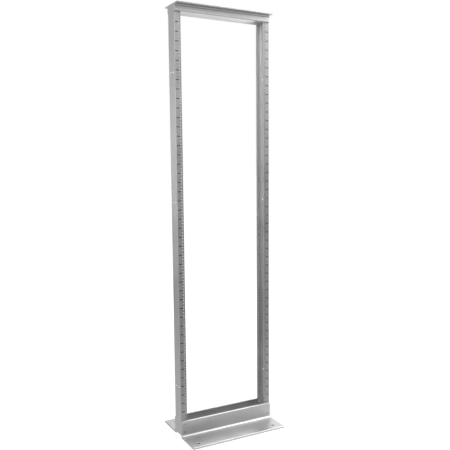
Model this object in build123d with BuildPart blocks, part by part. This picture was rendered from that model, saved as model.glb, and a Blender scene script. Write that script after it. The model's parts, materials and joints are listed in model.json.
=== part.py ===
"""Two post open frame rack: two channel uprights held between angles at the floor and at the top.

X runs across the rack, the front is toward -Y, and Z is up from the floor. The origin is on the floor,
in the middle of the rack. All sizes are in millimetres.
"""

import os

from build123d import *

INCH = 25.4

# The rack as a whole
RACK_HEIGHT = 84 * INCH
OPENING_WIDTH = 17.75 * INCH
UNIT = 1.75 * INCH

# Uprights: channels with the web outside and the two flanges pointing inward
CHANNEL_DEPTH = 3 * INCH
CHANNEL_WALL = 0.25 * INCH
FLANGE_WIDTH = 32.1
CHANNEL_OUTER_RADIUS = 0.8
CHANNEL_INNER_RADIUS = 1.6
CHANNEL_ABOVE_FLOOR = 0.5 * INCH

# Mounting holes: three to a unit, in a column down each flange
RAIL_HOLE_FROM_EDGE = 7.125
RAIL_HOLE_STEP = 0.625 * INCH
RAIL_HOLE_DIAMETER = 6.0
# Where up the rack the units lie whose outer holes are cut round
ROUND_UNIT_SHARES = (0.0, 0.5, 1.0)
# A six-sided hole with the area of a round one has corners this much further out than its radius
SIX_SIDED_RATIO = 1.0996

# Pairs of small holes through each web, as shares of the units and a rise above the unit's lower edge
WEB_HOLE_SHARES = (0.07, 0.53, 0.84)
WEB_HOLE_RISE = 35.5
WEB_HOLE_SPACING = 32.5
WEB_HOLE_DIAMETER = 7.1

# Base angles: a leg against the flanges and a long foot on the floor
BASE_LEG_HEIGHT = 3.5 * INCH
BASE_FOOT_LENGTH = 6 * INCH
BASE_THICKNESS = 0.375 * INCH
BASE_FILLET = 0.5 * INCH
BASE_TOE_RADIUS = 4.0

# Anchor holes in the feet
ANCHOR_DIAMETER = 14.3
ANCHOR_FROM_END = 44.2
ANCHOR_FROM_TOE = 39.0

# Top angles: one leg hangs against the flanges, the other points outward
TOP_LEG = 1.5 * INCH
TOP_THICKNESS = 0.25 * INCH
TOP_FILLET = 9.5
TOP_TOE_RADIUS = 2.4

# Joint bolts: heads inside the channels, ends in threaded holes of the angles
BOLT_DIAMETER = 7.94
BOLT_LENGTH = 0.5 * INCH
BOLT_HEAD_ACROSS_FLATS = 12.7
BOLT_HEAD_HEIGHT = 5.2
BOLT_HOLE_CLEARANCE = 0.8
BOLT_THREAD_CLEARANCE = 0.2
BOLT_FROM_SIDE = 15.5
BASE_BOLT_SPACING = 1.5 * INCH

# Sizes that follow from these
RACK_WIDTH = OPENING_WIDTH + 2 * FLANGE_WIDTH
CHANNEL_LENGTH = RACK_HEIGHT - CHANNEL_ABOVE_FLOOR
OUTER_X = RACK_WIDTH / 2
RAIL_HOLE_X = OPENING_WIDTH / 2 + RAIL_HOLE_FROM_EDGE
FLANGE_MIDDLE_X = OUTER_X - FLANGE_WIDTH / 2
FLANGE_Y = CHANNEL_DEPTH / 2
BASE_LEG_Y = FLANGE_Y + BASE_THICKNESS
BASE_TOE_Y = FLANGE_Y + BASE_FOOT_LENGTH
TOP_LEG_Y = FLANGE_Y + TOP_THICKNESS
TOP_TOE_Y = FLANGE_Y + TOP_LEG
TOP_LEG_FOOT_Z = RACK_HEIGHT - TOP_LEG
TOP_UNDERSIDE_Z = RACK_HEIGHT - TOP_THICKNESS
CLEAR_HEIGHT = TOP_LEG_FOOT_Z - BASE_LEG_HEIGHT
UNITS = int(CLEAR_HEIGHT // UNIT)
FIRST_UNIT_Z = BASE_LEG_HEIGHT + (CLEAR_HEIGHT - UNITS * UNIT) / 2
BOLT_X = OUTER_X - BOLT_FROM_SIDE
BOLT_HOLE_RADIUS = (BOLT_DIAMETER + BOLT_HOLE_CLEARANCE) / 2
THREAD_HOLE_RADIUS = (BOLT_DIAMETER + BOLT_THREAD_CLEARANCE) / 2
# The bolts lie in the middle of the flat part of each leg, between its fillet and its rounded edge
BASE_BOLTS_Z = (BASE_THICKNESS + BASE_FILLET + BASE_LEG_HEIGHT - BASE_TOE_RADIUS) / 2
TOP_BOLTS_Z = (TOP_LEG_FOOT_Z + TOP_TOE_RADIUS + TOP_UNDERSIDE_Z - TOP_FILLET) / 2

SIDES = {"left": -1, "right": 1}
FACES = {"front": -1, "rear": 1}
BOLT_LEVELS = {
    "base_lower": BASE_BOLTS_Z - BASE_BOLT_SPACING / 2,
    "base_upper": BASE_BOLTS_Z + BASE_BOLT_SPACING / 2,
    "top": TOP_BOLTS_Z,
}


def unit_hole_levels(unit):
    """Heights of the three mounting holes of a unit, with the lowest unit as 0."""
    middle = FIRST_UNIT_Z + (unit + 0.5) * UNIT
    return [middle - RAIL_HOLE_STEP, middle, middle + RAIL_HOLE_STEP]


round_units = {round(share * (UNITS - 1)) for share in ROUND_UNIT_SHARES}
round_levels = [z for unit in sorted(round_units) for z in unit_hole_levels(unit)[::2]]
rail_levels = [z for unit in range(UNITS) for z in unit_hole_levels(unit)]
six_sided_levels = [z for z in rail_levels if z not in round_levels]
web_levels = [FIRST_UNIT_Z + round(share * UNITS) * UNIT + WEB_HOLE_RISE for share in WEB_HOLE_SHARES]

# Right upright: a channel, drilled through both flanges from the front
with BuildPart() as right_upright:
    with BuildSketch(Plane.XY.offset(CHANNEL_ABOVE_FLOOR)) as channel_section:
        with Locations((FLANGE_MIDDLE_X, 0)):
            Rectangle(FLANGE_WIDTH, CHANNEL_DEPTH)
        with Locations((FLANGE_MIDDLE_X - CHANNEL_WALL, 0)):
            Rectangle(FLANGE_WIDTH, CHANNEL_DEPTH - 2 * CHANNEL_WALL, mode=Mode.SUBTRACT)
        fillet(channel_section.vertices().group_by(Axis.X)[1], CHANNEL_INNER_RADIUS)
        corners_by_depth = channel_section.vertices().group_by(Axis.Y)
        fillet([*corners_by_depth[0], *corners_by_depth[-1]], CHANNEL_OUTER_RADIUS)
    extrude(amount=CHANNEL_LENGTH)
    front_face = Plane.XZ.offset(FLANGE_Y)
    with Locations(front_face):
        with Locations(*[(RAIL_HOLE_X, z) for z in round_levels]):
            Hole(RAIL_HOLE_DIAMETER / 2, CHANNEL_DEPTH)
        with Locations(*[(BOLT_X, z) for z in BOLT_LEVELS.values()]):
            Hole(BOLT_HOLE_RADIUS, CHANNEL_DEPTH)
    # Web holes
    with Locations(Plane.YZ.offset(OUTER_X)):
        with Locations(*[(0, z) for z in web_levels]):
            with GridLocations(WEB_HOLE_SPACING, 0, 2, 1):
                Hole(WEB_HOLE_DIAMETER / 2, CHANNEL_WALL)
    # The rail holes between the round ones
    with BuildSketch(front_face) as six_sided_holes:
        with Locations(*[(RAIL_HOLE_X, z) for z in six_sided_levels]):
            RegularPolygon(SIX_SIDED_RATIO * RAIL_HOLE_DIAMETER / 2, 6)
    extrude(amount=-CHANNEL_DEPTH, mode=Mode.SUBTRACT)

with BuildPart() as left_upright:
    mirror(right_upright.part, about=Plane.YZ)

# Base angles: the front one, with the rear one as its mirror image
with BuildPart() as base_angle_front:
    with BuildSketch(Plane.YZ.offset(-OUTER_X)) as base_section:
        with BuildLine():
            Polyline(
                (-FLANGE_Y, 0),
                (-BASE_TOE_Y, 0),
                (-BASE_TOE_Y, BASE_THICKNESS),
                (-BASE_LEG_Y, BASE_THICKNESS),
                (-BASE_LEG_Y, BASE_LEG_HEIGHT),
                (-FLANGE_Y, BASE_LEG_HEIGHT),
                close=True,
            )
        make_face()
        fillet(base_section.vertices().sort_by_distance((-BASE_LEG_Y, BASE_THICKNESS))[0], BASE_FILLET)
        fillet(base_section.vertices().sort_by_distance((-BASE_LEG_Y, BASE_LEG_HEIGHT))[0], BASE_TOE_RADIUS)
        fillet(base_section.vertices().sort_by_distance((-BASE_TOE_Y, BASE_THICKNESS))[0], BASE_TOE_RADIUS)
    extrude(amount=RACK_WIDTH)
    with Locations(Plane.XZ.offset(BASE_LEG_Y)):
        with Locations((0, BASE_BOLTS_Z)):
            with GridLocations(2 * BOLT_X, BASE_BOLT_SPACING, 2, 2):
                Hole(THREAD_HOLE_RADIUS, BASE_THICKNESS)
    with Locations(Plane.XY.offset(BASE_THICKNESS)):
        with Locations((0, ANCHOR_FROM_TOE - BASE_TOE_Y)):
            with GridLocations(RACK_WIDTH - 2 * ANCHOR_FROM_END, 0, 2, 1):
                Hole(ANCHOR_DIAMETER / 2, BASE_THICKNESS)

with BuildPart() as base_angle_rear:
    mirror(base_angle_front.part, about=Plane.XZ)

# Top angles
with BuildPart() as top_angle_front:
    with BuildSketch(Plane.YZ.offset(-OUTER_X)) as top_section:
        with BuildLine():
            Polyline(
                (-FLANGE_Y, RACK_HEIGHT),
                (-TOP_TOE_Y, RACK_HEIGHT),
                (-TOP_TOE_Y, TOP_UNDERSIDE_Z),
                (-TOP_LEG_Y, TOP_UNDERSIDE_Z),
                (-TOP_LEG_Y, TOP_LEG_FOOT_Z),
                (-FLANGE_Y, TOP_LEG_FOOT_Z),
                close=True,
            )
        make_face()
        fillet(top_section.vertices().sort_by_distance((-TOP_LEG_Y, TOP_UNDERSIDE_Z))[0], TOP_FILLET)
        fillet(top_section.vertices().sort_by_distance((-TOP_LEG_Y, TOP_LEG_FOOT_Z))[0], TOP_TOE_RADIUS)
        fillet(top_section.vertices().sort_by_distance((-TOP_TOE_Y, TOP_UNDERSIDE_Z))[0], TOP_TOE_RADIUS)
    extrude(amount=RACK_WIDTH)
    with Locations(Plane.XZ.offset(TOP_LEG_Y)):
        with Locations((0, TOP_BOLTS_Z)):
            with GridLocations(2 * BOLT_X, 0, 2, 1):
                Hole(THREAD_HOLE_RADIUS, TOP_THICKNESS)

with BuildPart() as top_angle_rear:
    mirror(top_angle_front.part, about=Plane.XZ)


def make_bolt(side, face, level):
    """A hex bolt with its head seated on the flange inside the channel and its shank pointing outward."""
    seat = Plane.XZ.offset(-face * (FLANGE_Y - CHANNEL_WALL))
    with BuildPart() as bolt:
        # Two flats stand upright, so that the head clears the web
        with BuildSketch(seat):
            with Locations((side * BOLT_X, level)):
                RegularPolygon(BOLT_HEAD_ACROSS_FLATS / 2, 6, major_radius=False, rotation=30)
        extrude(amount=face * BOLT_HEAD_HEIGHT)
        with BuildSketch(seat):
            with Locations((side * BOLT_X, level)):
                Circle(BOLT_DIAMETER / 2)
        extrude(amount=-face * BOLT_LENGTH)
    return bolt


def write(piece, name):
    """Label a finished piece and write it under its own name."""
    piece.part.label = name
    export_step(piece.part, f"parts/{name}.step")


os.makedirs("parts", exist_ok=True)
write(left_upright, "left_upright")
write(right_upright, "right_upright")
write(base_angle_front, "base_angle_front")
write(base_angle_rear, "base_angle_rear")
write(top_angle_front, "top_angle_front")
write(top_angle_rear, "top_angle_rear")
for face_name, face in FACES.items():
    for side_name, side in SIDES.items():
        for level_name, level in BOLT_LEVELS.items():
            write(make_bolt(side, face, level), f"{level_name}_bolt_{face_name}_{side_name}")
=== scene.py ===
"""Two post open frame rack, dressed: drilled aluminium channels and angles, joint bolts and a pale studio."""

import json
import math

import bmesh
import bpy
import numpy as np
from mathutils import Matrix, Vector


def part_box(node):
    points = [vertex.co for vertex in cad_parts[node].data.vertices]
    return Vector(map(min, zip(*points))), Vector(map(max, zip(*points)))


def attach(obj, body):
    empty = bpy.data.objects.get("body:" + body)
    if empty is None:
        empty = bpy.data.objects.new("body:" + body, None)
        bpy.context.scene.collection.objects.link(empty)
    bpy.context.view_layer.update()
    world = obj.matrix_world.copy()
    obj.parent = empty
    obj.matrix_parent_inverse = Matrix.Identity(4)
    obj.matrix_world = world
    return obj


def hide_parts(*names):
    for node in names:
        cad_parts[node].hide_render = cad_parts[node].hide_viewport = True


bl_info = {
    "name": "Two post open frame rack",
    "version": (1, 0, 0),
    "blender": (4, 5, 0),
    "location": "3D View > Sidebar > Rack",
    "description": "Builds the drilled extrusions, bolts and finishes of a two post open frame rack",
    "category": "Object",
}

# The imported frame, and the places in it that the pieces here follow
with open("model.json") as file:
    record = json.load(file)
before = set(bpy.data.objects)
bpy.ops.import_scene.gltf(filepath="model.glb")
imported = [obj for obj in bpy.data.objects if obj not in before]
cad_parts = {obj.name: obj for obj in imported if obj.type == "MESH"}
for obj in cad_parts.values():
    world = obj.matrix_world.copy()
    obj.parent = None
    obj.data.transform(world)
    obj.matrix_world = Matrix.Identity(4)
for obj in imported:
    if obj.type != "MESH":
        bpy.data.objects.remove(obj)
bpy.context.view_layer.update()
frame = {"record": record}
mounts = {m["name"]: m for m in frame["record"]["mounts"]}
lowest_unit = mounts["equipment_unit_1"]
highest_unit = mounts["equipment_unit_45"]
anchors = mounts["floor_anchors"]
MM = 0.001

UPRIGHT_LOW, UPRIGHT_HIGH = (np.array(c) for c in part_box("right_upright"))
BASE_LOW, BASE_HIGH = (np.array(c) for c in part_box("base_angle_rear"))
TOP_LOW, TOP_HIGH = (np.array(c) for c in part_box("top_angle_rear"))
UNIT_COUNT = 45
UNIT = (highest_unit["pos_m"][2] - lowest_unit["pos_m"][2]) / (UNIT_COUNT - 1)
RAIL_HOLE_X = lowest_unit["dims"]["spacing_x_mm"] / 2 * MM
RAIL_HOLE_STEP = lowest_unit["dims"]["spacing_y_mm"] / 2 * MM
RAIL_HOLE_RADIUS = lowest_unit["dims"]["hole_r_mm"] * MM
FIRST_UNIT_Z = lowest_unit["pos_m"][2] - UNIT / 2
ANCHOR_X = anchors["dims"]["spacing_x_mm"] / 2 * MM
ANCHOR_Y = anchors["dims"]["spacing_y_mm"] / 2 * MM
ANCHOR_RADIUS = anchors["dims"]["hole_r_mm"] * MM

# Grid lines this far either side of a hole's middle put its corners at equal angles
EVEN = math.tan(math.pi / 8)
BLOCK = np.array([-1.0, -EVEN, 0.0, EVEN, 1.0])

# Half widths of the blocks of grid that the holes are cut into
RAIL_REACH = 3.9 * MM
BOLT_REACH = 5.4 * MM
WEB_REACH = 5.5 * MM
ANCHOR_REACH = 9.5 * MM

# Decimals of a metre that tell two grid lines apart, and the slack when rows are looked up
GRID_DIGITS = 7
GRID_SLACK = 1e-6

# Steps of the rounded corners of the angles, and the angle from which an edge is drawn sharp
ANGLE_STEPS = 8
SHARP_ANGLE = math.radians(40)

# Material slots of a drilled bar; the last holds the inner faces, made lighter as painted light
FACE, THREADED, PLAIN, SAWN, PAINTED_LIGHT_INSIDE = range(5)

# Share of all units that lies below each pair of web holes
WEB_HOLE_SHARES = (0.07, 0.53, 0.84)

# Height of the lowest unit mark, and how far behind the front face the marks end
FIRST_MARK_Z = FIRST_UNIT_Z + UNIT
MARK_DEPTH = 0.15 * MM

# Hex bolts: points round and along the shank, parts of the head beside its width across flats, the
# washer face's height, the cone at the tip, and where the thread starts and stops
BOLT_POINTS = 48
SHANK_STATIONS = 42
HEAD_TOP_SHARE = 0.93
WASHER_SHARE = 0.96
WASHER_HEIGHT = 0.35 * MM
TIP_CONE = 1.3 * MM
THREAD_START = 0.2 * MM
THREAD_STOP = 0.1 * MM

# Stretch of the drawn or sawn lines on object coordinates, low along the lines
ALONG_Z = (900.0, 900.0, 3.0)
ALONG_X = (3.0, 900.0, 900.0)
SAWN_ACROSS = (60.0, 1500.0, 1500.0)
SAWN_ON_TOP = (60.0, 1500.0, 60.0)
ZINC_GRAIN = (700.0, 700.0, 700.0)

# Scale of the clouding noise, and the band that most of a noise's values lie in
METAL_CLOUDS = 7.0
ZINC_CLOUDS = 160.0
NOISE_BAND = (0.3, 0.7)

# Darkest and lightest tone of the aluminium beside its colour, and of the zinc
METAL_TONES = (0.93, 1.07)
ZINC_DARK = 0.85
ZINC_LIGHT = (1.08, 1.08, 1.03)

# What clouds take from and add to the roughness, and what lines, sawn ends and ink add
METAL_CLOUD_GLOSS = (0.04, 0.05)
ZINC_CLOUD_GLOSS = (0.05, 0.08)
LINE_ROUGHNESS = 0.1
SAWN_ROUGHNESS = 0.08
INK_ROUGHNESS = 0.2

# Scuffs: turn and scale of the two noises, tilt, stretch and width, and where a third keeps them
SCUFF_NOISES = ((0.6, 140.0), (-0.9, 190.0))
SCUFF_TILT = 0.7
SCUFF_STRETCH = 0.07
SCUFF_WIDTH = 0.012
SCUFF_PATCHES = (0.52, 0.66)

# How much the scuffs show, their cover and tone on aluminium, and what they do to gloss and height
METAL_SCUFFS = 0.5
ZINC_SCUFFS = 0.8
SCUFF_COVER = 0.35
SCUFF_TONE = 1.35
SCUFF_GLOSS = -0.08
METAL_SCUFF_DEPTH = -0.4
ZINC_SCUFF_DEPTH = -0.5

# Heights of the relief that bump adds: die lines at full strength, saw lines beside them, threads, zinc
DIE_LINE_HEIGHT = 0.05 * MM
SAWN_RELIEF = 4
THREAD_RELIEF = 0.25 * MM
ZINC_RELIEF = 0.02 * MM

# The floor, where its white sweep begins before and left of the rack, and where the glow changes
FLOOR_HALF = 60.0
FLOOR_DROP = 0.2 * MM
SWEEP_FRONT = (-0.62, -0.36)
SWEEP_LEFT = (-1.83, -1.13)
SWEEP_SLANT = 0.42
GLOW_ON = (0.5, 3.0)
GLOW_OFF = (1.5, 6.0)

# Where the sky turns white, along the camera's heading and upwards
SKY_BEHIND = (-0.3, 0.3)
SKY_HIGH = (0.0, 0.4)

# White light, and the width of the camera's sensor in millimetres
WHITE = (1.0, 1.0, 1.0, 1.0)
SENSOR_WIDTH = 36.0

# Name, place, height that it faces, side and radiance of each softbox
LAMPS = (
    ("right_softbox", (2.79, -1.61, 3.9), 1.0, 2.2, 5.8),
    ("rear_right_softbox", (1.7, 2.4, 2.4), 0.0, 1.4, 1.2),
    ("rear_overhead_softbox", (1.42, 1.42, 3.87), 1.0, 2.2, 2.6),
    ("left_softbox", (-3.2, -2.24, 2.1), 1.0, 2.0, 6.9),
    ("upper_left_softbox", (-1.29, -1.53, 2.5), 2.0, 1.2, 5.6),
    ("upper_right_softbox", (1.53, -1.29, 2.3), 1.8, 1.2, 1.1),
    ("rear_left_softbox", (-1.9, 1.1, 1.3), 1.0, 1.2, 3.8),
)


def bolt_middle(level):
    """Middle of the rear right bolt at a level, which the other three mirror."""
    low, high = (np.array(c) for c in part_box(f"{level}_bolt_rear_right"))
    return (low + high) / 2


BOLT_LEVELS = {level: bolt_middle(level)[2] for level in ("base_lower", "base_upper", "top")}
BOLT_X = bolt_middle("top")[0]


def number(name, description, default, **kind):
    """A number property, with its limits and kind where it has any."""
    return bpy.props.FloatProperty(name=name, description=description, default=default, **kind)


def length(name, description, default):
    """A length property in metres, shown in the unit that the file uses."""
    return number(name, description, default, min=0.0, precision=5, unit="LENGTH")


def tint(name, description, default):
    """A colour property without alpha, in linear values."""
    return bpy.props.FloatVectorProperty(
        name=name, description=description, default=default, size=3, min=0.0, max=1.0, subtype="COLOR"
    )


def share(name, description, default):
    """A property between nothing and all."""
    return number(name, description, default, min=0.0, max=1.0, subtype="FACTOR")


class RACK_PG_sections(bpy.types.PropertyGroup):
    """Walls and roundings of the extruded members."""

    channel_wall: length("Channel wall", "Thickness of the web and the flanges", 6.35 * MM)
    channel_outer_radius: length("Channel outer radius", "Rounding of the outer corners", 0.8 * MM)
    channel_inner_radius: length("Channel inner radius", "Fillet between web and flange", 1.6 * MM)
    base_thickness: length("Base thickness", "Thickness of the base angles", 9.525 * MM)
    base_fillet: length("Base fillet", "Fillet between leg and foot", 12.7 * MM)
    base_toe_radius: length("Base toe radius", "Rounding of the free edges of the base angles", 4.0 * MM)
    top_thickness: length("Top thickness", "Thickness of the top angles", 6.35 * MM)
    top_fillet: length("Top fillet", "Fillet between the legs of the top angles", 9.5 * MM)
    top_toe_radius: length("Top toe radius", "Rounding of the free edges of the top angles", 2.4 * MM)
    edge_break: length("Edge break", "Small rounding of edges that are otherwise square", 0.4 * MM)
    end_break: length("End break", "How far the sawn ends are drawn in where they were deburred", 0.25 * MM)


class RACK_PG_drilling(bpy.types.PropertyGroup):
    """Holes and their broken edges."""

    thread_chamfer: length("Thread chamfer", "Countersink of the threaded rail holes", 0.3 * MM)
    hole_chamfer: length("Hole chamfer", "Width of the broken edge of the other holes", 0.35 * MM)
    anchor_chamfer: length("Anchor chamfer", "Width of the broken edge of the anchor holes", 0.9 * MM)
    web_hole_radius: length("Web hole radius", "Radius of the holes through the webs", 3.55 * MM)
    web_hole_spacing: length("Web hole spacing", "Distance between the two holes of a pair", 32.5 * MM)
    web_hole_rise: length("Web hole rise", "Height of a pair above its unit's lower edge", 35.5 * MM)
    bolt_hole_radius: length("Bolt hole radius", "Clearance holes in the flanges", 4.37 * MM)
    thread_hole_radius: length("Thread hole radius", "Threaded holes in the angles", 4.07 * MM)


class RACK_PG_bolts(bpy.types.PropertyGroup):
    """The hex bolts that join the uprights to the angles."""

    across_flats: length("Across flats", "Width of the hex head", 12.7 * MM)
    head_height: length("Head height", "Height of the hex head", 5.2 * MM)
    diameter: length("Thread diameter", "Outer diameter of the thread", 7.94 * MM)
    pitch: length("Thread pitch", "Distance between thread crests", 1.411 * MM)
    thread_depth: length("Thread depth", "Height of the thread's ridge", 0.6 * MM)


class RACK_PG_finish(bpy.types.PropertyGroup):
    """Colours and gloss of the metals."""

    upright_colour: tint("Upright colour", "Colour of the etched uprights", (0.336, 0.336, 0.339))
    upright_roughness: share("Upright roughness", "Gloss of the uprights", 0.5)
    angle_colour: tint("Angle colour", "Colour of the lighter mill finished angles", (0.47, 0.47, 0.474))
    angle_roughness: share("Angle roughness", "Gloss of the angles", 0.34)
    # Thread shade darkens the walls of the threaded holes as painted shade
    thread_painted_shade: share("Thread shade", "Brightness of the threaded holes beside the faces", 0.45)
    # Channel inside and Angle inside: how much lighter the inner faces are made than the outer ones, as
    # painted light
    channel_painted_light: number("Channel inside", "Brightness of a channel's inner faces beside the outer", 1.3)
    angle_painted_light: number("Angle inside", "Brightness of a top angle's face toward the uprights", 1.25)
    # Bore colour: bare drilled metal is lighter than the faces, and it is raised further as painted light so
    # the holes show bright
    bore_bare_and_painted_light: tint("Bore colour", "Colour of the bare metal in the plain holes", (0.95, 0.95, 0.955))
    # Anchor bore: painted shade, the anchor holes' walls made dark where shade falls in them, not a duller
    # metal
    anchor_painted_shade: tint("Anchor bore", "Colour of the dull walls of the anchor holes", (0.12, 0.12, 0.12))
    sawn_shade: share("Sawn shade", "Brightness of the sawn ends beside the faces", 0.72)
    bore_roughness: share("Bore roughness", "Gloss of the bare metal in the plain holes", 0.35)
    die_line_depth: share("Die line strength", "How much the extrusion's lines show", 0.12)
    ink: tint("Mark ink", "Colour of the unit marks", (0.02, 0.02, 0.022))
    mark_from: length("Marks from", "Where a unit mark starts, from the middle of the rack", 238.5 * MM)
    mark_to: length("Marks to", "Where a unit mark ends, from the middle of the rack", 254.5 * MM)
    mark_width: length("Mark width", "Height of a unit mark's line", 4.0 * MM)
    thread_pitch: length("Hole thread pitch", "Distance between threads in the holes", 1.058 * MM)
    zinc: tint("Zinc", "Colour of the plated bolts", (0.62, 0.63, 0.64))
    zinc_roughness: share("Zinc roughness", "Gloss of the plated bolts", 0.3)


class RACK_PG_studio(bpy.types.PropertyGroup):
    """Camera and light."""

    camera_place: bpy.props.FloatVectorProperty(
        name="Camera place",
        description="Where the camera stands",
        default=(-1.41424, -2.86406, 1.38496),
        size=3,
        subtype="TRANSLATION",
    )
    camera_yaw: number("Camera yaw", "Turn from +Y toward +X", 0.522838, subtype="ANGLE")
    camera_pitch: number("Camera pitch", "Tilt above the horizon", -0.116541, subtype="ANGLE")
    camera_roll: number("Camera roll", "Turn about the line of sight", -0.002068, subtype="ANGLE")
    camera_lens: number("Lens", "Focal length in millimetres on a 36 mm sensor", 49.931)
    camera_shift: bpy.props.FloatVectorProperty(
        name="Camera shift",
        description="Shift of the frame, in frame widths",
        default=(-0.081817, 0.025098),
        size=2,
    )
    floor_colour: tint("Floor colour", "Colour of the floor on the white sweep", (0.45, 0.45, 0.45))
    floor_dark: tint("Dark floor colour", "Colour of the floor off the white sweep", (0.12, 0.12, 0.12))
    floor_glow: bpy.props.FloatVectorProperty(
        name="Floor glow",
        description="What the floor adds near and far on the white sweep, and near and far off it",
        default=(0.62, 1.0, 0.0, 0.25),
        size=4,
    )
    sky_front: share("Front sky", "Brightness of the studio behind the camera", 0.5)
    sky_level: number("Sky level", "Strength of the even light from the studio", 0.2, min=0.0)


SETTINGS = {
    "rack_sections": RACK_PG_sections,
    "rack_drilling": RACK_PG_drilling,
    "rack_bolts": RACK_PG_bolts,
    "rack_finish": RACK_PG_finish,
    "rack_studio": RACK_PG_studio,
}


class Outline:
    """A closed section with rounded corners and extra points where grid lines cross its straight edges.

    Each corner becomes a quarter circle whose middle lies one radius along both of its edges, and the
    straight edge that leaves it carries the points asked for, in the direction of travel.
    """

    def __init__(self, corners, radii, crossings, steps=5):
        corners = np.array(corners, float)
        turn = np.linspace(0.0, math.pi / 2, steps + 1)[:, None]
        points, count = [], 0
        self.columns, self.line, self.first = {}, {}, {}
        for edge, here in enumerate(corners):
            self.first[edge] = count
            into = here - corners[edge - 1]
            out = corners[(edge + 1) % len(corners)] - here
            into, out = into / np.linalg.norm(into), out / np.linalg.norm(out)
            middle = here + (out - into) * radii[edge]
            arc = middle + radii[edge] * (into * np.sin(turn) - out * np.cos(turn))
            axis = int(np.argmax(np.abs(out)))
            values = np.array(sorted(crossings.get(edge, []), reverse=bool(out[axis] < 0)))
            straight = np.repeat(here[None, :], len(values), axis=0)
            if len(values):
                straight[:, axis] = values
            start = count + len(arc)
            self.columns[edge] = {round(float(v), GRID_DIGITS): start + i for i, v in enumerate(values)}
            self.line[edge] = (axis, here[1 - axis])
            points += [arc, straight]
            count = start + len(values)
        self.points = np.vstack(points)

    def column(self, edge, values):
        """Indices of the points where the grid lines at these values cross an edge."""
        return np.array([self.columns[edge][round(float(v), GRID_DIGITS)] for v in values])

    def drawn_in(self, distance):
        """The same section with every point moved inwards, across the mean direction of its two edges."""
        ahead = np.roll(self.points, -1, axis=0) - self.points
        ahead /= np.linalg.norm(ahead, axis=1)[:, None]
        along = ahead + np.roll(ahead, 1, axis=0)
        along /= np.linalg.norm(along, axis=1)[:, None]
        outward = np.stack([along[:, 1], -along[:, 0]], axis=1)
        return self.points - distance * outward


def ring_of(rows, columns):
    """Row and column of each point round a block of the grid, starting at its first corner."""
    last_row, last_column = len(rows) - 1, len(columns) - 1
    down = np.arange(last_row)
    across = np.arange(last_column)
    r = np.concatenate([0 * across, down, last_row + 0 * across, last_row - down])
    c = np.concatenate([across, last_column + 0 * down, last_column - across, 0 * down])
    return rows[r], columns[c]


def quads(row, column, size):
    """Corners of each face of a grid that closes on itself across, with size points to a row."""
    turn = (column + 1) % size
    here, beyond = row * size, (row + 1) * size
    return np.stack([here + column, here + turn, beyond + turn, beyond + column], axis=1)


def end_caps(rows, size):
    """The first and the last row of such a grid, as one face each."""
    return [list(range(size)), list(range((rows - 1) * size, rows * size))]


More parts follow.
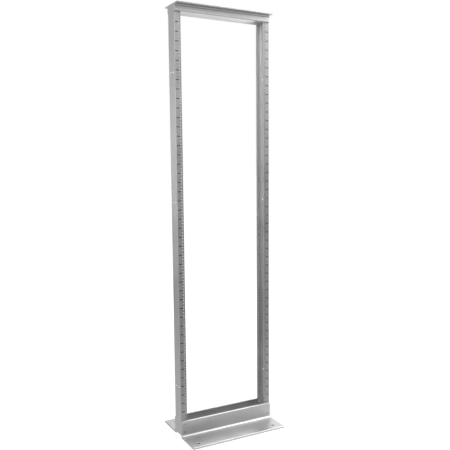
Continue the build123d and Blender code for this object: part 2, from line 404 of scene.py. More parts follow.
def drilled_bar(name, outline, ends, axes, drillings, broken, flip=(1, 1, 1), inside=None):
    """A section carried along a straight path, with round holes through pairs of its walls.

    The walls from the first to before the second edge named as inside take the inner-face finish, a lighter
    copy of the face finish that is painted light.

    A wall point is (section point, distance along the path), and at both ends the section is drawn in
    over the last bit of the path. Round each hole a block of the wall's grid is left out, and five
    bands of faces join the block's rim on one face to the rim on the other: flat, broken edge, bore,
    broken edge, flat. A circle's points are middle + radius * (cos a, sin a), with a the direction of
    the rim's points from the middle.
    """
    stations = [ends[0], ends[0] + broken, ends[1] - broken, ends[1]]
    for drilling in drillings:
        for middle in drilling["middles"]:
            stations += list(middle + drilling["reach"] * BLOCK)
    path = np.unique(np.round(np.array(stations, float), GRID_DIGITS))
    size = len(outline.points)
    section = np.repeat(outline.points[None], len(path), axis=0)
    section[[0, -1]] = outline.drawn_in(broken)
    along = np.repeat(path[:, None, None], size, axis=1)
    grid = np.concatenate([section, along], axis=2).reshape(-1, 3)
    kept = np.ones((len(path) - 1, size), bool)
    points, faces, slots = [grid], [], []
    count = len(grid)
    for drilling in drillings:
        front, back = drilling["edges"]
        axis, front_line = outline.line[front]
        back_line = outline.line[back][1]
        inward = np.sign(back_line - front_line)
        chamfer = drilling["chamfer"]
        levels = [
            (chamfer, front_line),
            (0.0, front_line + inward * chamfer),
            (0.0, back_line - inward * chamfer),
            (chamfer, back_line),
        ]
        across, reach = drilling["across"], drilling["reach"]
        front_columns = outline.column(front, across + reach * BLOCK)
        back_columns = outline.column(back, across + reach * BLOCK)
        for middle in drilling["middles"]:
            rows = np.flatnonzero(np.abs(path - middle) < reach + GRID_SLACK)
            for columns in (front_columns, back_columns):
                kept[rows[0]:rows[-1], columns.min():columns.max()] = False
            front_rim = ring_of(rows, front_columns)
            back_rim = ring_of(rows, back_columns)
            angle = np.arctan2(path[front_rim[0]] - middle, outline.points[front_rim[1], axis] - across)
            rings = [front_rim[0] * size + front_rim[1]]
            for wider, depth in levels:
                radius = drilling["radius"] + wider
                ring = np.zeros((len(angle), 3))
                ring[:, axis] = across + radius * np.cos(angle)
                ring[:, 1 - axis] = depth
                ring[:, 2] = middle + radius * np.sin(angle)
                points.append(ring)
                rings.append(count + np.arange(len(angle)))
                count += len(angle)
            rings.append(back_rim[0] * size + back_rim[1])
            bands = [0, drilling.get("rim", drilling["slot"]), drilling["slot"]]
            for band, (a, b) in enumerate(zip(rings, rings[1:])):
                faces.append(np.stack([a, np.roll(a, -1), np.roll(b, -1), b], axis=1))
                slots.append(np.full(len(a), bands[min(band, 4 - band)]))
    row, col = np.nonzero(kept)
    wall = quads(row, col, size)
    placed = np.zeros((count, 3))
    placed[:, list(axes)] = np.vstack(points)
    placed *= np.array(flip)
    mesh = bpy.data.meshes.new(name)
    mesh.from_pydata(placed.tolist(), [], np.vstack([wall, *faces]).tolist() + end_caps(len(path), size))
    walls = np.zeros(len(row), int)
    # These inner faces take the lighter finish, which is painted light
    if inside:
        start, stop = outline.first[inside[0]], outline.first.get(inside[1], size)
        walls[(col >= start) & (col < stop)] = PAINTED_LIGHT_INSIDE
    walls[np.isin(row, [0, len(path) - 2])] = SAWN
    mesh.polygons.foreach_set("material_index", np.concatenate([walls, *slots, [SAWN, SAWN]]))
    return finished(name, mesh)


def finished(name, mesh):
    """A new object from a closed mesh: normals outwards, smooth with sharp corners, flats kept flat."""
    used = np.zeros(len(mesh.vertices), bool)
    ends = np.zeros(len(mesh.edges) * 2, int)
    mesh.edges.foreach_get("vertices", ends)
    used[ends] = True
    shell = bmesh.new()
    shell.from_mesh(mesh)
    shell.verts.ensure_lookup_table()
    bmesh.ops.delete(shell, geom=[shell.verts[i] for i in np.flatnonzero(~used)], context="VERTS")
    bmesh.ops.recalc_face_normals(shell, faces=shell.faces)
    shell.to_mesh(mesh)
    shell.free()
    mesh.shade_smooth()
    mesh.set_sharp_from_angle(angle=SHARP_ANGLE)
    piece = bpy.data.objects.new(name, mesh)
    bpy.context.scene.collection.objects.link(piece)
    weighted = piece.modifiers.new("even_normals", "WEIGHTED_NORMAL")
    weighted.keep_sharp = True
    return piece


def dress(piece, node, materials):
    """The piece takes a CAD node's place, its body and its finishes."""
    for material in materials:
        piece.data.materials.append(material)
    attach(piece, "root")
    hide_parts(node)


def bolt_surface(name, sizes, middle, seat, facing, reach):
    """A hex bolt on an axis along Y, as radii over a grid of angle and station along the axis.

    The head's radius at angle a is half the width across flats over cos(a'), with a' the angle from the
    nearest flat's middle, and its top corners fall away at 30 degrees. On the shank the radius is the
    thread's, less a triangle wave of the height in pitches minus the angle in turns, and the end is a
    45 degree cone. Heights count from the seat, with the head positive.
    """
    angle = np.linspace(0.0, 2 * math.pi, BOLT_POINTS, endpoint=False)
    flats = sizes.across_flats / 2
    hexagon = flats / np.cos((angle + math.pi / 6) % (math.pi / 3) - math.pi / 6)
    even = np.ones_like(angle)
    top, washer = HEAD_TOP_SHARE * flats, WASHER_SHARE * flats
    radius = sizes.diameter / 2
    point = radius - TIP_CONE
    height = -np.linspace(THREAD_START, reach - THREAD_STOP, SHANK_STATIONS)[:, None] * even
    wave = np.abs(2 * ((height / sizes.pitch - angle / (2 * math.pi)) % 1.0) - 1)
    thread = np.minimum(radius - sizes.thread_depth * wave, point + reach + height)
    radii = np.vstack([
        top * even, hexagon, hexagon, washer * even, washer * even, radius * even, thread, point * even
    ])
    fall = sizes.head_height - (hexagon - top) * math.tan(math.pi / 6)
    heights = np.vstack([
        sizes.head_height * even, fall, WASHER_HEIGHT * even, WASHER_HEIGHT * even, 0 * even, 0 * even,
        height, -reach * even,
    ])
    rows, columns = radii.shape
    placed = np.stack([
        middle[0] + radii * np.cos(angle), seat - facing * heights, middle[2] + radii * np.sin(angle)
    ], axis=2).reshape(-1, 3)
    row, column = np.mgrid[0:rows - 1, 0:columns].reshape(2, -1)
    wall = quads(row, column, columns)
    mesh = bpy.data.meshes.new(name)
    mesh.from_pydata(placed.tolist(), [], wall.tolist() + end_caps(rows, columns))
    return finished(name, mesh)


class Nodes:
    """A node tree that is filled a node at a time, each new one to the right of the last."""

    def __init__(self, tree):
        self.tree = tree
        self.count = 0

    def add(self, kind, inputs=None, **settings):
        """A new node with its settings, and a value or a link for each named or numbered input."""
        node = self.tree.nodes.new(kind)
        node.location = (200 * self.count, 0)
        self.count += 1
        for key, value in settings.items():
            setattr(node, key, value)
        for key, value in (inputs or {}).items():
            if isinstance(value, bpy.types.NodeSocket):
                self.tree.links.new(value, node.inputs[key])
            else:
                node.inputs[key].default_value = value
        return node

    def math(self, operation, a, b=0.0, c=0.0, clamp=False):
        """The result socket of a Math node."""
        return self.add("ShaderNodeMath", {0: a, 1: b, 2: c}, operation=operation, use_clamp=clamp).outputs[0]

    def ramp(self, value, low, high, to_low=0.0, to_high=1.0):
        """A smooth step of a value from one level to another."""
        step = self.add(
            "ShaderNodeMapRange",
            {"Value": value, "From Min": low, "From Max": high, "To Min": to_low, "To Max": to_high},
            interpolation_type="SMOOTHSTEP",
        )
        return step.outputs["Result"]


def group(name, inputs, outputs):
    """An empty node group with float or vector inputs and outputs, and its inner nodes."""
    tree = bpy.data.node_groups.new(name, "ShaderNodeTree")
    for label, kind in inputs.items():
        tree.interface.new_socket(name=label, in_out="INPUT", socket_type=kind)
    for label, kind in outputs.items():
        tree.interface.new_socket(name=label, in_out="OUTPUT", socket_type=kind)
    nodes = Nodes(tree)
    return tree, nodes, nodes.add("NodeGroupInput").outputs


FLOAT, VECTOR = "NodeSocketFloat", "NodeSocketVector"


def drawn_lines_group():
    """Fine lines that a die or a saw leaves: noise on object coordinates stretched along one axis.

    The lines are the mean of a coarse and a fine noise, and the clouding is a slow noise that isn't
    stretched, as handling and oxide leave it.
    """
    if "rack_drawn_lines" in bpy.data.node_groups:
        return bpy.data.node_groups["rack_drawn_lines"]
    tree, nodes, given = group(
        "rack_drawn_lines", {"Stretch": VECTOR, "Cloud size": FLOAT}, {"Lines": FLOAT, "Clouds": FLOAT}
    )
    place = nodes.add("ShaderNodeTexCoord").outputs["Object"]
    stretched = nodes.add(
        "ShaderNodeVectorMath", {0: place, 1: given["Stretch"]}, operation="MULTIPLY"
    ).outputs[0]
    coarse = nodes.add("ShaderNodeTexNoise", {"Vector": stretched, "Scale": 0.35, "Detail": 2.0}).outputs[0]
    fine = nodes.add("ShaderNodeTexNoise", {"Vector": stretched, "Scale": 1.6, "Detail": 3.0}).outputs[0]
    lines = nodes.math("MULTIPLY", nodes.math("ADD", coarse, fine), 0.5)
    clouds = nodes.add(
        "ShaderNodeTexNoise", {"Vector": place, "Scale": given["Cloud size"], "Detail": 4.0}
    ).outputs[0]
    nodes.add("NodeGroupOutput", {"Lines": lines, "Clouds": clouds})
    return tree


def scuffs_group():
    """Short light scratches: thin bands of two turned noises, kept where a third noise is high."""
    if "rack_scuffs" in bpy.data.node_groups:
        return bpy.data.node_groups["rack_scuffs"]
    tree, nodes, given = group("rack_scuffs", {"Amount": FLOAT}, {"Scuffs": FLOAT})
    place = nodes.add("ShaderNodeTexCoord").outputs["Object"]
    bands = []
    for turn, scale in SCUFF_NOISES:
        rotation, stretch = (turn, turn * SCUFF_TILT, turn), (1.0, SCUFF_STRETCH, 1.0)
        turned = nodes.add(
            "ShaderNodeMapping", {"Vector": place, "Rotation": rotation, "Scale": stretch}
        ).outputs[0]
        noise = nodes.add("ShaderNodeTexNoise", {"Vector": turned, "Scale": scale, "Detail": 1.0}).outputs[0]
        away = nodes.math("ABSOLUTE", nodes.math("SUBTRACT", noise, 0.5))
        bands.append(nodes.ramp(away, 0.0, SCUFF_WIDTH, 1.0, 0.0))
    patches = nodes.add("ShaderNodeTexNoise", {"Vector": place, "Scale": 9.0, "Detail": 2.0}).outputs[0]
    kept = nodes.ramp(patches, *SCUFF_PATCHES)
    both = nodes.math("MAXIMUM", bands[0], bands[1])
    scuffs = nodes.math("MULTIPLY", both, kept)
    nodes.add("NodeGroupOutput", {"Scuffs": nodes.math("MULTIPLY", scuffs, given["Amount"])})
    return tree


def unit_marks_group():
    """Mask of the printed lines between units: near a whole number of units up, and within a band across."""
    if "rack_unit_marks" in bpy.data.node_groups:
        return bpy.data.node_groups["rack_unit_marks"]
    tree, nodes, given = group(
        "rack_unit_marks",
        dict.fromkeys(("First height", "Spacing", "Count", "From", "To", "Half width", "Face"), FLOAT),
        {"Mask": FLOAT},
    )
    place = nodes.add("ShaderNodeTexCoord").outputs["Object"]
    x, y, z = nodes.add("ShaderNodeSeparateXYZ", {0: place}).outputs
    units = nodes.math("DIVIDE", nodes.math("SUBTRACT", z, given["First height"]), given["Spacing"])
    nearest = nodes.math("ROUND", units)
    away = nodes.math("ABSOLUTE", nodes.math("SUBTRACT", units, nearest))
    away = nodes.math("MULTIPLY", away, given["Spacing"])
    near = nodes.math("LESS_THAN", away, given["Half width"])
    counted = nodes.math("LESS_THAN", nearest, nodes.math("SUBTRACT", given["Count"], 0.5))
    counted = nodes.math("MULTIPLY", counted, nodes.math("GREATER_THAN", nearest, -0.5))
    side = nodes.math("ABSOLUTE", x)
    past = nodes.math("GREATER_THAN", side, given["From"])
    band = nodes.math("MULTIPLY", past, nodes.math("LESS_THAN", side, given["To"]))
    front = nodes.math("LESS_THAN", y, given["Face"])
    mask = nodes.math("MULTIPLY", nodes.math("MULTIPLY", near, counted), nodes.math("MULTIPLY", band, front))
    nodes.add("NodeGroupOutput", {"Mask": mask})
    return tree


def emptied(owner):
    """The inner nodes of a new material or world, with the ones it starts with taken out."""
    owner.use_nodes = True
    owner.node_tree.nodes.clear()
    return Nodes(owner.node_tree)


def new_material(name):
    """A node material and its inner nodes, with the shader and the output in place."""
    material = bpy.data.materials.new(name)
    nodes = emptied(material)
    shader = nodes.add("ShaderNodeBsdfPrincipled")
    nodes.add("ShaderNodeOutputMaterial", {"Surface": shader.outputs[0]})
    return material, nodes, shader


def mix_colour(nodes, amount, a, b):
    """The colour between a and b by an amount."""
    node = nodes.add("ShaderNodeMix", {"Factor": amount}, data_type="RGBA")
    for socket, value in ((node.inputs[6], a), (node.inputs[7], b)):
        if isinstance(value, bpy.types.NodeSocket):
            nodes.tree.links.new(value, socket)
        else:
            socket.default_value = (*value, 1.0)
    return node.outputs[2]


def aluminium(name, tone, roughness, stretch, line_height, marks=None, ink=None, thread_pitch=None):
    """Extruded aluminium: die or saw lines, faint clouding and scuffs, and printed marks where asked."""
    material, nodes, shader = new_material(name)
    surface = nodes.add("ShaderNodeGroup", node_tree=drawn_lines_group())
    surface.inputs["Stretch"].default_value = stretch
    surface.inputs["Cloud size"].default_value = METAL_CLOUDS
    lines, clouds = surface.outputs["Lines"], surface.outputs["Clouds"]
    worn = nodes.add("ShaderNodeGroup", {"Amount": METAL_SCUFFS}, node_tree=scuffs_group())
    scuffs = worn.outputs["Scuffs"]
    base = np.array(tone)
    shade = nodes.math("ADD", nodes.math("MULTIPLY", lines, 0.5), nodes.math("MULTIPLY", clouds, 0.5))
    shade = nodes.ramp(shade, *NOISE_BAND)
    dark, light = METAL_TONES
    colour = mix_colour(nodes, shade, base * dark, np.minimum(base * light, 1.0))
    cover = nodes.math("MULTIPLY", scuffs, SCUFF_COVER)
    colour = mix_colour(nodes, cover, colour, np.minimum(base * SCUFF_TONE, 1.0))
    glossier, duller = METAL_CLOUD_GLOSS
    rough = nodes.ramp(clouds, *NOISE_BAND, roughness - glossier, roughness + duller)
    rough = nodes.math("MULTIPLY_ADD", lines, LINE_ROUGHNESS, nodes.math("ADD", rough, -LINE_ROUGHNESS / 2))
    rough = nodes.math("MULTIPLY_ADD", scuffs, SCUFF_GLOSS, rough)
    metal = 1.0
    if marks:
        mask = nodes.add("ShaderNodeGroup", marks, node_tree=unit_marks_group()).outputs["Mask"]
        colour = mix_colour(nodes, mask, colour, np.array(ink))
        metal = nodes.math("SUBTRACT", 1.0, mask)
        rough = nodes.math("MULTIPLY_ADD", mask, INK_ROUGHNESS, rough)
    height = nodes.math("MULTIPLY_ADD", scuffs, METAL_SCUFF_DEPTH, lines)
    bump = nodes.add("ShaderNodeBump", {"Height": height, "Strength": 1.0, "Distance": line_height})
    if thread_pitch:
        place = nodes.add("ShaderNodeTexCoord").outputs["Object"]
        depth = nodes.add("ShaderNodeSeparateXYZ", {0: place}).outputs["Y"]
        ridge = nodes.math("PINGPONG", nodes.math("DIVIDE", depth, thread_pitch / 2), 1.0)
        bump = nodes.add(
            "ShaderNodeBump",
            {"Height": ridge, "Strength": 1.0, "Distance": THREAD_RELIEF, "Normal": bump.outputs[0]},
        )
    tree = material.node_tree
    tree.links.new(colour, shader.inputs["Base Color"])
    tree.links.new(rough, shader.inputs["Roughness"])
    tree.links.new(bump.outputs[0], shader.inputs["Normal"])
    if marks:
        tree.links.new(metal, shader.inputs["Metallic"])
    else:
        shader.inputs["Metallic"].default_value = metal
    return material


def zinc_plate(finish):
    """Zinc plated steel: small crystalline clouding under a thin clear chromate, with tool scuffs."""
    material, nodes, shader = new_material("zinc_plate")
    surface = nodes.add("ShaderNodeGroup", node_tree=drawn_lines_group())
    surface.inputs["Stretch"].default_value = ZINC_GRAIN
    surface.inputs["Cloud size"].default_value = ZINC_CLOUDS
    scuffs = nodes.add("ShaderNodeGroup", {"Amount": ZINC_SCUFFS}, node_tree=scuffs_group()).outputs["Scuffs"]
    base = np.array(finish.zinc)
    clouds = surface.outputs["Clouds"]
    tone = nodes.ramp(clouds, *NOISE_BAND)
    colour = mix_colour(nodes, tone, base * ZINC_DARK, base * np.array(ZINC_LIGHT))
    glossier, duller = ZINC_CLOUD_GLOSS
    roughness = finish.zinc_roughness
    rough = nodes.ramp(clouds, *NOISE_BAND, roughness - glossier, roughness + duller)
    height = nodes.math("MULTIPLY_ADD", scuffs, ZINC_SCUFF_DEPTH, surface.outputs["Lines"])
    bump = nodes.add("ShaderNodeBump", {"Height": height, "Strength": 1.0, "Distance": ZINC_RELIEF})
    tree = material.node_tree
    tree.links.new(colour, shader.inputs["Base Color"])
    tree.links.new(rough, shader.inputs["Roughness"])
    tree.links.new(bump.outputs[0], shader.inputs["Normal"])
    shader.inputs["Metallic"].default_value = 1.0
    return material


def aluminium_set(finish, side, tone, roughness, stretch, sawn, marks=None, painted_light_gain=None, bore=None):
    """The finishes of a drilled bar, in the order of its slots: threaded holes darkened as painted shade,
    drilled holes in a given colour (bare metal lifted as painted light in the uprights, painted shade in the
    anchor holes), and inner faces made lighter as painted light where asked.
    """
    depth, pitch = finish.die_line_depth * DIE_LINE_HEIGHT, finish.thread_pitch
    # The threaded holes are darkened as painted shade
    painted_shade_tone = finish.thread_painted_shade * np.array(tone)
    # The drilled holes take a given colour: bare metal lifted as painted light in the uprights, painted shade
    # in the anchor holes
    bore = bore or finish.bore_bare_and_painted_light
    cut = finish.sawn_shade * np.array(tone)
    inner = []
    # A lighter copy of the face finish for the inner faces: painted light
    if painted_light_gain:
        lighter = np.minimum(painted_light_gain * np.array(tone), 1.0)
        inner = [aluminium(f"{side}_inner_face_painted_light", lighter, roughness, stretch, depth)]
    return [
        aluminium(f"{side}_face", tone, roughness, stretch, depth, marks=marks, ink=finish.ink),
        aluminium(f"{side}_threaded_hole_painted_shade", painted_shade_tone, roughness, ALONG_X, depth, thread_pitch=pitch),
        aluminium(f"{side}_drilled_hole_painted_light_and_shade", bore, finish.bore_roughness, ALONG_X, depth),
        aluminium(f"{side}_sawn_end", cut, roughness + SAWN_ROUGHNESS, sawn, SAWN_RELIEF * depth),
        *inner,
    ]


def bar_settings(scene):
    """The sections, the drilling and the finishes that a drilled bar is built from."""
    return scene.rack_sections, scene.rack_drilling, scene.rack_finish


class RACK_OT_uprights(bpy.types.Operator):
    """Build the two drilled channel uprights"""

    bl_idname = "rack.uprights"
    bl_label = "Uprights"

    def execute(self, context):
        sizes, drill, finish = bar_settings(context.scene)
        low, high = UPRIGHT_LOW, UPRIGHT_HIGH
        wall = sizes.channel_wall
        outer, tip, inner = high[0], low[0], high[0] - wall
        front, rear = low[1], high[1]
        corners = [
            (outer, front), (outer, rear), (tip, rear), (tip, rear - wall),
            (inner, rear - wall), (inner, front + wall), (tip, front + wall), (tip, front),
        ]
        round_out, round_in, broken = sizes.channel_outer_radius, sizes.channel_inner_radius, sizes.edge_break
        radii = [round_out, round_out, round_out, broken, round_in, round_in, broken, round_out]
        flange = np.concatenate([RAIL_HOLE_X + RAIL_REACH * BLOCK, BOLT_X + BOLT_REACH * BLOCK])
        web_y = drill.web_hole_spacing / 2
        web = np.concatenate([side * web_y + WEB_REACH * BLOCK for side in (-1, 1)])
        crossings = {0: web, 4: web, 1: flange, 3: flange, 5: flange, 7: flange}
        outline = Outline(corners, radii, crossings)
        units = FIRST_UNIT_Z + UNIT * (np.arange(UNIT_COUNT)[:, None] + 0.5)
        rail = (units + RAIL_HOLE_STEP * np.array([-1, 0, 1])).ravel()
        units_below = np.round(np.array(WEB_HOLE_SHARES) * UNIT_COUNT)
        web_levels = FIRST_UNIT_Z + units_below * UNIT + drill.web_hole_rise
        drillings = []
        for edges in ((7, 5), (1, 3)):
            drillings.append({
                "edges": edges, "across": RAIL_HOLE_X, "reach": RAIL_REACH, "middles": rail,
                "radius": RAIL_HOLE_RADIUS, "slot": THREADED, "chamfer": drill.thread_chamfer,
            })
            drillings.append({
                "edges": edges, "across": BOLT_X, "reach": BOLT_REACH, "middles": list(BOLT_LEVELS.values()),
                "radius": drill.bolt_hole_radius, "slot": PLAIN, "chamfer": drill.hole_chamfer,
            })
        for side in (-1, 1):
            drillings.append({
                "edges": (0, 4), "across": side * web_y, "reach": WEB_REACH, "middles": web_levels,
                "radius": drill.web_hole_radius, "slot": PLAIN, "chamfer": drill.hole_chamfer,
            })
        marks = {
            "First height": FIRST_MARK_Z, "Spacing": UNIT, "Count": float(UNIT_COUNT - 1),
            "From": finish.mark_from, "To": finish.mark_to, "Half width": finish.mark_width / 2,
            "Face": front + MARK_DEPTH,
        }
        materials = aluminium_set(
            finish, "upright", finish.upright_colour, finish.upright_roughness, ALONG_Z, SAWN_ON_TOP, marks,
            finish.channel_painted_light,
        )
        for name, sign in (("left_upright", -1), ("right_upright", 1)):
            piece = drilled_bar(
                f"{name}_drilled", outline, (low[2], high[2]), (0, 1, 2), drillings, sizes.end_break,
                flip=(sign, 1, 1), inside=(3, 6),
            )
            dress(piece, name, materials)
        return {"FINISHED"}


def joint_holes(edges, level, drill):
    """The two threaded holes that the joint bolts go into, in the leg of an angle."""
    return {
        "edges": edges, "across": level, "reach": BOLT_REACH, "middles": [-BOLT_X, BOLT_X],
        "radius": drill.thread_hole_radius, "slot": THREADED, "chamfer": drill.hole_chamfer,
    }


def angle_pair(place, outline, ends, drillings, broken, materials, inside=None):
    """The front and the rear angle at the base or the top, each the other's mirror image."""
    for end, sign in (("front", -1), ("rear", 1)):
        node = f"{place}_angle_{end}"
        piece = drilled_bar(
            f"{node}_drilled", outline, ends, (1, 2, 0), drillings, broken, flip=(1, sign, 1), inside=inside
        )
        dress(piece, node, materials)


class RACK_OT_base_angles(bpy.types.Operator):
    """Build the two base angles with their threaded legs and anchor holes"""

    bl_idname = "rack.base_angles"
    bl_label = "Base angles"

    def execute(self, context):
        sizes, drill, finish = bar_settings(context.scene)
        low, high, wall = BASE_LOW, BASE_HIGH, sizes.base_thickness
        leg, toe, top = low[1], high[1], high[2]
        corners = [(leg, 0.0), (toe, 0.0), (toe, wall), (leg + wall, wall), (leg + wall, top), (leg, top)]
        broken, round_toe = sizes.edge_break, sizes.base_toe_radius
        radii = [broken, broken, round_toe, sizes.base_fillet, round_toe, broken]
        levels = [BOLT_LEVELS["base_lower"], BOLT_LEVELS["base_upper"]]
        upright = np.concatenate([level + BOLT_REACH * BLOCK for level in levels])
        foot = ANCHOR_Y + ANCHOR_REACH * BLOCK
        outline = Outline(corners, radii, {0: foot, 2: foot, 3: upright, 5: upright}, steps=ANGLE_STEPS)
        drillings = [joint_holes((3, 5), level, drill) for level in levels]
        drillings.append({
            "edges": (2, 0), "across": ANCHOR_Y, "reach": ANCHOR_REACH, "middles": [-ANCHOR_X, ANCHOR_X],
            "radius": ANCHOR_RADIUS, "slot": PLAIN, "rim": FACE, "chamfer": drill.anchor_chamfer,
        })
        # The anchor holes' walls take a dark colour as painted shade
        materials = aluminium_set(
            finish, "base_angle", finish.angle_colour, finish.angle_roughness, ALONG_X, SAWN_ACROSS,
            bore=finish.anchor_painted_shade,
        )
        angle_pair("base", outline, (low[0], high[0]), drillings, sizes.end_break, materials)
        return {"FINISHED"}


class RACK_OT_top_angles(bpy.types.Operator):
    """Build the two top angles with their threaded legs"""

    bl_idname = "rack.top_angles"
    bl_label = "Top angles"

    def execute(self, context):
        sizes, drill, finish = bar_settings(context.scene)
        low, high, wall = TOP_LOW, TOP_HIGH, sizes.top_thickness
        leg, toe, foot, top = low[1], high[1], low[2], high[2]
        corners = [
            (leg, foot), (leg + wall, foot), (leg + wall, top - wall),
            (toe, top - wall), (toe, top), (leg, top),
        ]
        broken, round_toe = sizes.edge_break, sizes.top_toe_radius
        radii = [broken, round_toe, sizes.top_fillet, round_toe, broken, broken]
        level = BOLT_LEVELS["top"]
        upright = level + BOLT_REACH * BLOCK
        outline = Outline(corners, radii, {1: upright, 5: upright}, steps=ANGLE_STEPS)
        drillings = [joint_holes((1, 5), level, drill)]
        materials = aluminium_set(
            finish, "top_angle", finish.angle_colour, finish.angle_roughness, ALONG_X, SAWN_ACROSS,
            painted_light_gain=finish.angle_painted_light,
        )
        angle_pair(
            "top", outline, (low[0], high[0]), drillings, sizes.end_break, materials, inside=(5, 6)
        )
        return {"FINISHED"}


class RACK_OT_joint_bolts(bpy.types.Operator):
    """Build the twelve hex bolts that join the uprights to the angles"""

    bl_idname = "rack.joint_bolts"
    bl_label = "Joint bolts"

    def execute(self, context):
        sizes = context.scene.rack_bolts
        plate = zinc_plate(context.scene.rack_finish)
        for level in BOLT_LEVELS:
            for end, facing in (("front", -1), ("rear", 1)):
                for side in ("left", "right"):
                    node = f"{level}_bolt_{end}_{side}"
                    low, high = (np.array(c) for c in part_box(node))
                    head_top, tip = (low[1], high[1]) if facing > 0 else (high[1], low[1])
                    seat = head_top + facing * sizes.head_height
                    piece = bolt_surface(
                        f"{node}_threaded", sizes, (low + high) / 2, seat, facing, abs(tip - seat)
                    )
                    dress(piece, node, [plate])
        return {"FINISHED"}


def along(nodes, vector, turn):
    """How far a place or direction lies along the camera's heading, turned clockwise from above."""
    yaw = bpy.context.scene.rack_studio.camera_yaw + turn
    heading = (math.sin(yaw), math.cos(yaw), 0.0)
    product = nodes.add("ShaderNodeVectorMath", {0: vector, 1: heading}, operation="DOT_PRODUCT")
    return product.outputs["Value"]


def seen_rays(nodes):
    """One for camera, glossy and transmission rays, nothing for the rays that light surfaces."""
    rays = nodes.add("ShaderNodeLightPath").outputs
    seen = nodes.math("MAXIMUM", rays["Is Camera Ray"], rays["Is Glossy Ray"])
    return nodes.math("MAXIMUM", seen, rays["Is Transmission Ray"])


def softbox(name, place, aim_height, side, radiance):
    """A square area lamp that faces the rack's middle line at a height; its power is pi * area * radiance."""
    lamp = bpy.data.lights.new(name, "AREA")
    lamp.shape = "SQUARE"
    lamp.size = side
    lamp.energy = math.pi * side**2 * radiance
    piece = bpy.data.objects.new(name, lamp)
    aim = Vector((0.0, 0.0, aim_height)) - Vector(place)
    piece.matrix_world = Matrix.Translation(Vector(place)) @ aim.to_track_quat("-Z", "Y").to_matrix().to_4x4()
    piece.visible_camera = False
    bpy.context.scene.collection.objects.link(piece)


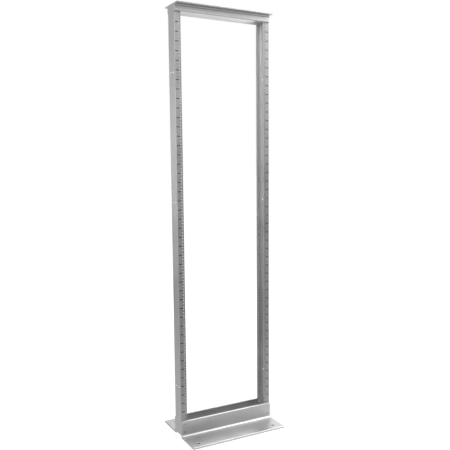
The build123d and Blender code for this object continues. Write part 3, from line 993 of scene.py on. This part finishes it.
class RACK_OT_studio(bpy.types.Operator):
    """Build the pale floor, the soft light and the camera"""

    bl_idname = "rack.studio"
    bl_label = "Studio"

    def execute(self, context):
        studio = context.scene.rack_studio
        self.floor(studio)
        self.world(context.scene, studio)
        for lamp in LAMPS:
            softbox(*lamp)
        self.camera(context.scene, studio)
        context.scene.view_settings.view_transform = "Standard"
        return {"FINISHED"}

    def floor(self, studio):
        """A floor that is white from just before the rack backwards, and dark nearer the camera."""
        half = FLOOR_HALF
        corners = [(-half, -half, 0.0), (half, -half, 0.0), (half, half, 0.0), (-half, half, 0.0)]
        mesh = bpy.data.meshes.new("studio_floor")
        mesh.from_pydata(corners, [], [(0, 1, 2, 3)])
        floor = bpy.data.objects.new("studio_floor", mesh)
        bpy.context.scene.collection.objects.link(floor)
        floor.location.z = -FLOOR_DROP
        material = bpy.data.materials.new("studio_floor")
        nodes = emptied(material)
        place = nodes.add("ShaderNodeTexCoord").outputs["Object"]
        ahead, right = along(nodes, place, 0.0), along(nodes, place, math.pi / 2)
        front = nodes.ramp(ahead, *SWEEP_FRONT)
        left = nodes.ramp(nodes.math("MULTIPLY_ADD", ahead, SWEEP_SLANT, right), *SWEEP_LEFT)
        sweep = nodes.math("MULTIPLY", front, left)
        distance = nodes.add("ShaderNodeVectorMath", {0: place}, operation="LENGTH").outputs["Value"]
        white_near, white_far, grey_near, grey_far = studio.floor_glow
        on = nodes.ramp(distance, *GLOW_ON, white_near, white_far)
        off = nodes.ramp(distance, *GLOW_OFF, grey_near, grey_far)
        glow = nodes.add("ShaderNodeMix", {"Factor": sweep, "A": off, "B": on}).outputs[0]
        shine = nodes.math("MULTIPLY", glow, seen_rays(nodes))
        colour = mix_colour(nodes, sweep, studio.floor_dark, studio.floor_colour)
        paint = nodes.add("ShaderNodeBsdfDiffuse", {"Color": colour}).outputs[0]
        light = nodes.add("ShaderNodeEmission", {"Color": WHITE, "Strength": shine}).outputs[0]
        both = nodes.add("ShaderNodeAddShader", {0: paint, 1: light}).outputs[0]
        nodes.add("ShaderNodeOutputMaterial", {"Surface": both})
        mesh.materials.append(material)

    def world(self, scene, studio):
        """Even light, and a sky that seen and mirrored rays find white but greyer behind the camera."""
        world = bpy.data.worlds.new("studio_world")
        nodes = emptied(world)
        heading = nodes.add("ShaderNodeTexCoord").outputs["Generated"]
        behind = nodes.ramp(along(nodes, heading, 0.0), *SKY_BEHIND)
        high = nodes.ramp(nodes.add("ShaderNodeSeparateXYZ", {0: heading}).outputs["Z"], *SKY_HIGH)
        white = nodes.math("MAXIMUM", behind, high)
        seen = nodes.ramp(white, 0.0, 1.0, studio.sky_front, 1.0)
        mixed = {"Factor": seen_rays(nodes), "A": studio.sky_level, "B": seen}
        level = nodes.add("ShaderNodeMix", mixed).outputs[0]
        light = nodes.add("ShaderNodeBackground", {"Color": WHITE, "Strength": level}).outputs[0]
        nodes.add("ShaderNodeOutputWorld", {"Surface": light})
        scene.world = world

    def camera(self, scene, studio):
        """The camera, turned about the vertical, tilted, and rolled about its line of sight."""
        lens = bpy.data.cameras.new("camera")
        lens.lens = studio.camera_lens
        lens.sensor_width = SENSOR_WIDTH
        lens.shift_x, lens.shift_y = studio.camera_shift
        camera = bpy.data.objects.new("camera", lens)
        turn = Matrix.Rotation(-studio.camera_yaw, 4, "Z")
        tilt = Matrix.Rotation(math.pi / 2 + studio.camera_pitch, 4, "X")
        roll = Matrix.Rotation(studio.camera_roll, 4, "Z")
        camera.matrix_world = Matrix.Translation(Vector(studio.camera_place)) @ turn @ tilt @ roll
        scene.collection.objects.link(camera)
        scene.camera = camera


BUILDERS = (RACK_OT_uprights, RACK_OT_base_angles, RACK_OT_top_angles, RACK_OT_joint_bolts, RACK_OT_studio)


class RACK_PT_panel(bpy.types.Panel):
    """The rack's sizes and colours, and a button for each of its pieces"""

    bl_idname = "RACK_PT_panel"
    bl_label = "Two post open frame rack"
    bl_space_type = "VIEW_3D"
    bl_region_type = "UI"
    bl_category = "Rack"

    def draw(self, context):
        for builder in BUILDERS:
            self.layout.operator(builder.bl_idname)
        for name, kind in SETTINGS.items():
            box = self.layout.box()
            box.label(text=name.replace("_", " ").capitalize())
            for setting in kind.__annotations__:
                box.prop(getattr(context.scene, name), setting)


def register():
    """Make the settings, the builders and the panel known, with the settings on every scene."""
    for kind in (*SETTINGS.values(), *BUILDERS, RACK_PT_panel):
        bpy.utils.register_class(kind)
    for name, kind in SETTINGS.items():
        setattr(bpy.types.Scene, name, bpy.props.PointerProperty(type=kind))


def unregister():
    """Take away what register added."""
    for name in SETTINGS:
        delattr(bpy.types.Scene, name)
    for kind in reversed((*SETTINGS.values(), *BUILDERS, RACK_PT_panel)):
        bpy.utils.unregister_class(kind)


def main():
    """Build everything: the uprights, the angles, the bolts and the studio."""
    register()
    bpy.ops.rack.uprights()
    bpy.ops.rack.base_angles()
    bpy.ops.rack.top_angles()
    bpy.ops.rack.joint_bolts()
    bpy.ops.rack.studio()


if __name__ == "__main__":
    main()
